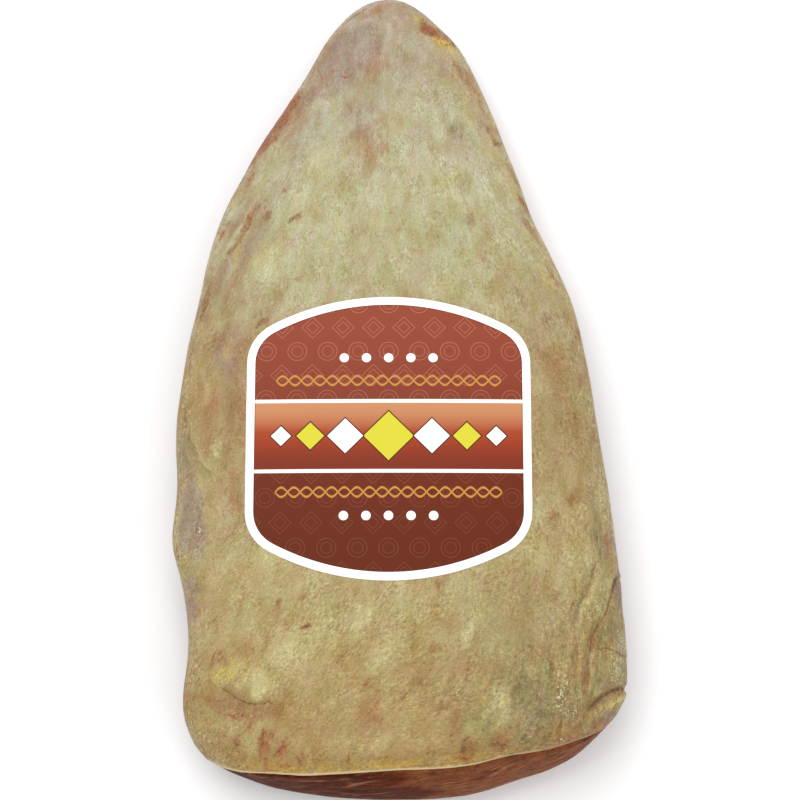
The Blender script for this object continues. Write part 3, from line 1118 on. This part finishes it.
def label_mesh(fat):
    """A thin sheet that follows the fat under it. Its first rings of faces are the border."""
    insets = [0, 0.25, 1.5, 2.8, LABEL_BORDER]
    rings = [label_outline(inset) for inset in insets]
    rings += [rings[-1] * share for share in np.linspace(1, 0.04, LABEL_RINGS)[1:]]
    count = len(rings[0])
    tree = BVHTree.FromObject(fat, bpy.context.evaluated_depsgraph_get())
    vertices = []
    for ring in rings:
        for px, py in ring:
            x, y = LABEL_MIDDLE[0] + px, LABEL_MIDDLE[1] + py
            hit = tree.ray_cast((x * MM, y * MM, 0.2), (0, 0, -1))[0]
            vertices.append((x, y, hit.z / MM))
    vertices = np.array(vertices)
    top = vertices + (0, 0, LABEL_LIFT)
    top[:count, 2] -= LABEL_EDGE_DROP
    skirt = vertices[:count] - (0, 0, LABEL_SKIRT)
    faces = []
    border = 0
    following = [(i + 1) % count for i in range(count)]
    skirt_start = len(top)
    for i, j in enumerate(following):
        faces.append((skirt_start + i, i, j, skirt_start + j))
    for k in range(len(rings) - 1):
        for i, j in enumerate(following):
            faces.append((k * count + i, (k + 1) * count + i, (k + 1) * count + j, k * count + j))
        if k == len(insets) - 2:
            border = len(faces)
    faces.append(tuple((len(rings) - 1) * count + i for i in reversed(range(count))))
    mesh = bpy.data.meshes.new("label_print")
    mesh.from_pydata([tuple(v) for v in np.concatenate([top, skirt]) * MM], [], faces)
    field = np.arange(len(mesh.vertices)) >= len(insets) * count
    set_attribute(mesh, "inner", field.astype(float))
    for polygon in mesh.polygons:
        polygon.use_smooth = True
        polygon.material_index = 0 if polygon.index < border else 1
    return mesh


def paper_material():
    shader = Shader("label_border")
    fibres = shader.noise(0.8, 3, seed=1)
    colour = shader.tint(srgb(250, 249, 247), fibres, 0.015)
    return shader.finish(colour, 0.45, shader.bump(fibres, 0.03), 0.4)


def ring_mask(shader, distance, radius, half_width):
    """1 on a line of that half width, at that distance."""
    away = shader.absolute(shader.minus(distance, radius))
    return shader.inside(away, half_width, 0.06)


def cell_position(shader, x, y, pitch_x, pitch_y):
    """Coordinates from the middle of each cell of a staggered pattern, and which row it is."""
    row = shader.math("FLOOR", shader.math("DIVIDE", y, pitch_y))
    odd = shader.math("MODULO", shader.plus(row, 100.0), 2.0)
    moved = shader.plus(x, shader.times(odd, pitch_x / 2))
    column = shader.math("FLOOR", shader.math("DIVIDE", moved, pitch_x))
    u = shader.minus(moved, shader.times(shader.plus(column, 0.5), pitch_x))
    v = shader.minus(y, shader.times(shader.plus(row, 0.5), pitch_y))
    return u, v, odd


def length_of(shader, u, v):
    return shader.math("SQRT", shader.plus(shader.times(u, u), shader.times(v, v)))


def diamond_of(shader, u, v, squash=1.0):
    upright = shader.times(shader.absolute(v), squash)
    return shader.plus(shader.absolute(u), upright)


def line_pattern(shader, x, y):
    """Faint rings and diamonds in staggered rows."""
    u, v, odd = cell_position(shader, x, y, 11.0, 9.0)
    rings = shader.math("MAXIMUM", ring_mask(shader, length_of(shader, u, v), 3.4, 0.14),
                        ring_mask(shader, length_of(shader, u, v), 2.0, 0.12))
    diamonds = shader.math("MAXIMUM", ring_mask(shader, diamond_of(shader, u, v), 4.0, 0.18),
                           ring_mask(shader, diamond_of(shader, u, v), 2.2, 0.16))
    even = shader.minus(1.0, odd)
    return shader.plus(shader.times(rings, odd), shader.times(diamonds, even))


def print_material():
    """The label's printed field, with a belt of lozenges between two braids and rows of dots."""
    shader = Shader("label_field")
    centred = shader.shifted(shader.place, (-LABEL_MIDDLE[0], -LABEL_MIDDLE[1], 0))
    x, y, _ = shader.split(centred)
    tones = [(0, srgb(96, 35, 11)), (0.3, srgb(104, 39, 16)), (0.5, srgb(114, 46, 24))]
    field = shader.ramp(shader.step(y, -50.0, 50.0), [*tones, (1, srgb(140, 66, 46))])
    clear = shader.graded(shader.step(y, -30.0, 40.0), 0.18, 0.08)
    field = shader.coat(field, srgb(226, 158, 130), line_pattern(shader, x, y), clear)
    field = add_belt(shader, field, x, y)
    field = add_rows(shader, field, x, y)
    edge = shader.times(shader.step(shader.attribute("inner"), 0.26, 0.1), 0.5)
    field = shader.mix(edge, field, srgb(70, 30, 20))
    grain = shader.noise(0.9, 2, seed=1)
    return shader.finish(shader.tint(field, grain, 0.02), 0.5, shader.bump(grain, 0.03), 0.12)


def add_belt(shader, field, x, y):
    white, yellow = srgb(252, 250, 246), srgb(206, 198, 54)
    away = shader.absolute(y)
    tones = [(0, srgb(120, 44, 24)), (0.35, srgb(150, 56, 28)), (0.6, srgb(160, 66, 34))]
    body = shader.ramp(shader.step(y, -12.0, 12.0), [*tones, (1, srgb(192, 132, 92))])
    field = shader.mix(shader.inside(away, BELT_HALF + BELT_EDGE), field, white)
    field = shader.mix(shader.inside(away, BELT_HALF), field, body)
    across = shader.absolute(x)
    lozenges = [(0.0, 9.0, yellow), (15.5, 6.4, white), (28.0, 5.0, yellow), (38.5, 3.6, white)]
    for offset, size, tone in lozenges:
        lozenge = diamond_of(shader, shader.minus(across, offset), y)
        field = shader.mix(shader.inside(lozenge, size + 0.6), field, srgb(70, 30, 16))
        field = shader.mix(shader.inside(lozenge, size), field, tone)
    return field


def add_rows(shader, field, x, y):
    """A braid of two waves and a row of dots, above the belt and below it."""
    across, up = shader.absolute(x), shader.absolute(y)
    wave = shader.times(shader.math("SINE", shader.times(x, BRAID_RADIANS_A_MM)), BRAID_WAVE)
    level = shader.minus(up, BRAID_AWAY)
    ends = shader.inside(across, BRAID_HALF)
    for away in (shader.minus(level, wave), shader.plus(level, wave)):
        strand = shader.times(ring_mask(shader, away, 0.0, 0.42), ends)
        field = shader.mix(strand, field, srgb(190, 134, 62))
    column = shader.math("FLOOR", shader.plus(shader.math("DIVIDE", x, DOT_PITCH), 0.5))
    u = shader.minus(x, shader.times(column, DOT_PITCH))
    dot = shader.inside(length_of(shader, u, shader.minus(up, DOTS_AWAY)), DOT_RADIUS, 0.075)
    return shader.coat(field, srgb(252, 250, 248), dot, shader.inside(across, DOTS_HALF))


# The scene

add_camera()
add_light()
add_floor()

fat_mesh, fat_shown, fat_facing = refined("fat_cap", "fat_skin", fat_is_hidden, fat_keeps)
shape_fat(fat_mesh, fat_shown, fat_facing)
fat_mesh.materials.append(fat_material())
fat = add_piece(fat_mesh, "fat_skin", "fat_cap")

meat_mesh, meat_shown, meat_facing = refined("meat", "lean_meat", meat_is_hidden, meat_keeps)
shape_meat(meat_mesh, meat_shown, meat_facing)
meat_mesh.materials.append(meat_material())
add_piece(meat_mesh, "lean_meat", "meat")

label = label_mesh(fat)
label.materials.append(paper_material())
label.materials.append(print_material())
add_piece(label, "label_print", "label")
